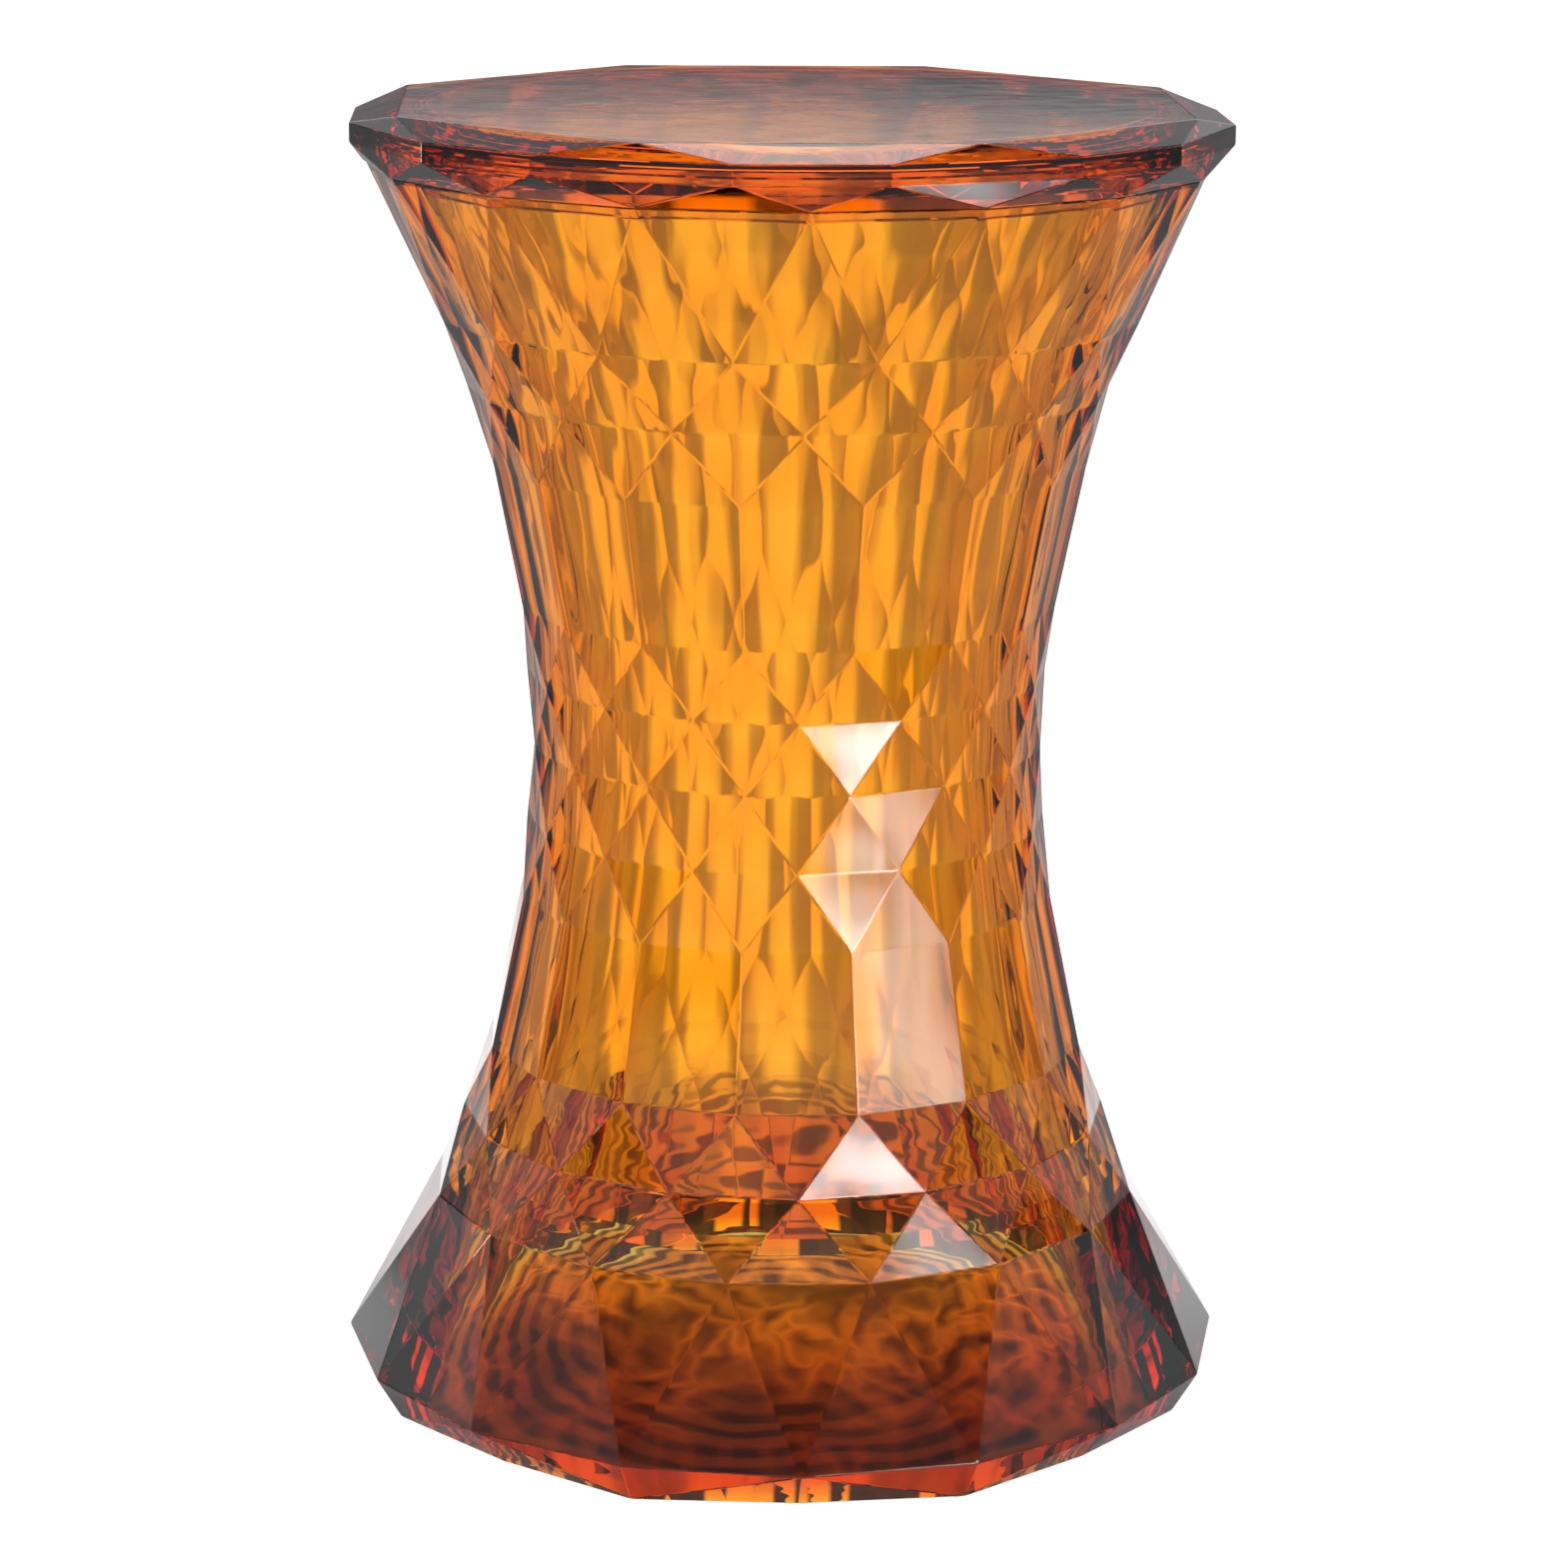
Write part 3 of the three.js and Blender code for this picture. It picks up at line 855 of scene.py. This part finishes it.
# %% World
ROOM = (   # the upwards share of a direction, and the room's colour there
    (0.0, (0.28, 0.27, 0.28)),
    (0.05, (0.28, 0.27, 0.28)),
    (0.08, (0.13, 0.11, 0.12)),
    (0.09, (0.14, 0.12, 0.13)),
    (0.115, (0.6, 0.66, 0.66)),
    (0.18, (0.95, 0.93, 0.95)),
    (0.35, (0.74, 0.72, 0.74)),
    (0.55, (0.18, 0.18, 0.18)),
    (1.0, (0.1, 0.1, 0.1)),
)
BARS, BAR_GLOW = 20, (0.06, 2.0)
BARS_START, BARS_START_GLOW = (0.08, 0.2), (0.65, 1)


def room_colour(tree, up):
    room = tree.nodes.new("ShaderNodeValToRGB")
    stops = room.color_ramp.elements
    while len(stops) < len(ROOM):
        stops.new(1.0)
    for stop, (position, colour) in zip(stops, ROOM):
        stop.position, stop.color = position, (*colour, 1)
    tree.links.new(up.outputs["Z"], room.inputs["Fac"])
    return room.outputs["Color"]


def upright_bars(tree, up):
    turn = maths(tree, "ARCTAN2", up.outputs["X"], up.outputs["Y"])
    bars = ranged(tree, wave(tree, turn, BARS), 0.1, 0.5, *BAR_GLOW)
    return maths(tree, "MULTIPLY", bars, ranged(tree, up.outputs["Z"], *BARS_START, *BARS_START_GLOW))


def build_world():
    world = bpy.data.worlds.new("studio")
    scene.world = world
    world.use_nodes = True
    tree = world.node_tree
    background = tree.nodes["Background"]
    up = tree.nodes.new("ShaderNodeSeparateXYZ")
    tree.links.new(tree.nodes.new("ShaderNodeTexCoord").outputs["Generated"], up.inputs["Vector"])
    camera_ray, through_ray, _ = ray_kinds(tree)
    gain = maths(tree, "SUBTRACT", upright_bars(tree, up), 1)
    strength = maths(tree, "ADD", maths(tree, "MULTIPLY", through_ray, gain), 1)
    tree.links.new(strength, background.inputs["Strength"])
    view = tree.nodes.new("ShaderNodeMix")
    view.data_type = "RGBA"
    tree.links.new(camera_ray, view.inputs["Factor"])
    tree.links.new(room_colour(tree, up), view.inputs["A"])
    view.inputs["B"].default_value = (1, 1, 1, 1)
    tree.links.new(view.outputs["Result"], background.inputs["Color"])
    return world


print("world:", build_world().name, "with", len(ROOM), "steps of brightness")

# %% [markdown]
# ## Soft box
# The pale panes in the photograph are one soft box, mirrored in single facets. It stands low and near at
# the viewer's right. Here it is a glowing sheet that only mirrors see; to every other ray it is clear, so
# it neither shows through the plastic nor lights the object. It is brightest in the middle of its height
# and towards one end, and a little patchy, so no two panes are alike. Facets at the stool's far side would
# mirror it at a grazing angle, as white as the ground, and the outline would look bitten. A studio keeps
# light off them with a honeycomb, and here the glow ends with the length of the ray.

# %% Soft box
BOX_GLOW, BOX_SIZE = 24, (0.36, 0.29)
BOX_DISTANCE, BOX_AIM = 0.65, Vector((0, 0, 0.15))
BOX_EDGE, BOX_END, BOX_PATCH = 0.3, 0.3, 0.3   # how much of the glow is left there
BOX_PATCHES = 7
BOX_REACH = (0.597, 0.609)                     # in metres, from a facet to the sheet


def studio_place(azimuth, elevation, distance, aim):
    """A place and the turn towards the stool. Azimuth 0 is the viewer's side, 90 the viewer's right."""
    turn, rise = math.radians(azimuth), math.radians(elevation)
    place = aim + distance * Vector((
        math.sin(turn) * math.cos(rise), -math.cos(turn) * math.cos(rise), math.sin(rise)))
    return place, (place - aim).to_track_quat("Z", "Y")


def soft_box_sheet(name):
    """A material that glows in mirrors and is clear to all other rays."""
    sheet = bpy.data.materials.new(name)
    sheet.use_nodes = True
    tree = sheet.node_tree
    tree.nodes.remove(tree.nodes["Principled BSDF"])
    place = tree.nodes.new("ShaderNodeTexCoord").outputs["UV"]
    across = tree.nodes.new("ShaderNodeSeparateXYZ")
    tree.links.new(place, across.inputs["Vector"])
    off_middle = maths(tree, "ABSOLUTE", maths(tree, "SUBTRACT", across.outputs["Y"], 0.5), 0)
    glow = maths(tree, "MULTIPLY", ranged(tree, off_middle, 0.1, 0.5, 1, BOX_EDGE), BOX_GLOW)
    glow = maths(tree, "MULTIPLY", glow, ranged(tree, across.outputs["X"], 0.1, 0.9, 1, BOX_END))
    patches = ranged(tree, noise(tree, place, BOX_PATCHES, 1), 0.38, 0.6, BOX_PATCH, 1)
    glow = maths(tree, "MULTIPLY", glow, patches)
    length = tree.nodes.new("ShaderNodeLightPath").outputs["Ray Length"]
    glow = maths(tree, "MULTIPLY", glow, ranged(tree, length, *BOX_REACH, 1, 0.05))
    lit = tree.nodes.new("ShaderNodeEmission")
    tree.links.new(glow, lit.inputs["Strength"])
    clear = tree.nodes.new("ShaderNodeBsdfTransparent")
    either = tree.nodes.new("ShaderNodeMixShader")
    tree.links.new(ray_kinds(tree)[2], either.inputs["Fac"])
    tree.links.new(clear.outputs["BSDF"], either.inputs[1])
    tree.links.new(lit.outputs["Emission"], either.inputs[2])
    tree.links.new(either.outputs["Shader"], tree.nodes["Material Output"].inputs["Surface"])
    return sheet


def soft_box(name, azimuth, elevation, distance, size, aim):
    place, facing = studio_place(azimuth, elevation, distance, aim)
    bm = bmesh.new()
    bm.loops.layers.uv.new("sheet")
    bmesh.ops.create_grid(
        bm, x_segments=1, y_segments=1, size=0.5, calc_uvs=True,
        matrix=Matrix.Translation(place) @ facing.to_matrix().to_4x4() @ Matrix.Diagonal((*size, 1, 1)))
    box = mesh_object(name, bm)
    box.data.materials.append(soft_box_sheet(name))
    box.visible_camera = box.visible_diffuse = False
    return box


right_box = soft_box(
    "right_box", azimuth=35, elevation=0, distance=BOX_DISTANCE, size=BOX_SIZE, aim=BOX_AIM)
print("soft box:", right_box.name, BOX_SIZE, "m")

# %% [markdown]
# ## Lamps
# A long panel high behind gives the glint on the seat's front chamfer, and two narrow ones, low at the
# sides, do the same for the foot. The narrow ones are seen only in mirrors, because through the waves of
# the plastic each would be a hard bright line. One panel overhead lights the floor alone.

# %% Lamps
PANEL_DISTANCE, STRIP_DISTANCE = 2.0, 1.2
STOOL_MIDDLE, SEAT_MIDDLE = Vector((0, 0, 0.22)), Vector((0, 0, 0.44))


def soft_panel(name, azimuth, elevation, distance, size, power, aim=STOOL_MIDDLE):
    lamp = bpy.data.lights.new(name, "AREA")
    lamp.shape, lamp.size, lamp.size_y = "RECTANGLE", *size
    lamp.energy = power
    panel = bpy.data.objects.new(name, lamp)
    panel.location, facing = studio_place(azimuth, elevation, distance, aim)
    panel.rotation_euler = facing.to_euler()
    panel.visible_camera = False
    scene.collection.objects.link(panel)
    return panel


soft_panel(
    "back_panel", azimuth=180, elevation=41, distance=PANEL_DISTANCE, size=(1.6, 0.44), power=5,
    aim=SEAT_MIDDLE)
top_panel = soft_panel(
    "top_panel", azimuth=0, elevation=88, distance=PANEL_DISTANCE, size=(1.6, 1.6), power=6)
top_panel.visible_glossy = top_panel.visible_transmission = False
for side, azimuth in (("left", -118), ("right", 118)):
    strip = soft_panel(
        side + "_strip", azimuth, elevation=8.5, distance=STRIP_DISTANCE, size=(0.1, 0.26), power=0.5)
    strip.visible_diffuse = strip.visible_transmission = False

# %% [markdown]
# ## Camera
# The camera stands a little above the seat, 1.68 m from the stool's axis, with a long lens. Its place and
# tilt were fitted to the rings of facets in the photograph.

# %% Camera
CAMERA_DISTANCE, CAMERA_HEIGHT = 1.681, 0.616
CAMERA_AZIMUTH = math.radians(-2.56)
CAMERA_HEADING = math.radians(-2.56 + 0.021)
CAMERA_TILT = math.radians(90 - 13.48)
CAMERA_ROLL = math.radians(0.44)
SENSOR_WIDTH = 36
LENS_SHARE = 4961 / 1569   # the lens, as so many widths of the picture

lens = bpy.data.cameras.new("camera")
lens.sensor_width, lens.lens = SENSOR_WIDTH, LENS_SHARE * SENSOR_WIDTH
camera = bpy.data.objects.new("camera", lens)
camera.matrix_world = (
    Matrix.Translation((CAMERA_DISTANCE * math.sin(CAMERA_AZIMUTH),
                        -CAMERA_DISTANCE * math.cos(CAMERA_AZIMUTH), CAMERA_HEIGHT))
    @ Matrix.Rotation(CAMERA_HEADING, 4, "Z") @ Matrix.Rotation(CAMERA_TILT, 4, "X")
    @ Matrix.Rotation(CAMERA_ROLL, 4, "Z")
)
scene.collection.objects.link(camera)
scene.camera = camera
scene.view_settings.view_transform = "Standard"
print("camera at", [round(c, 3) for c in camera.location])
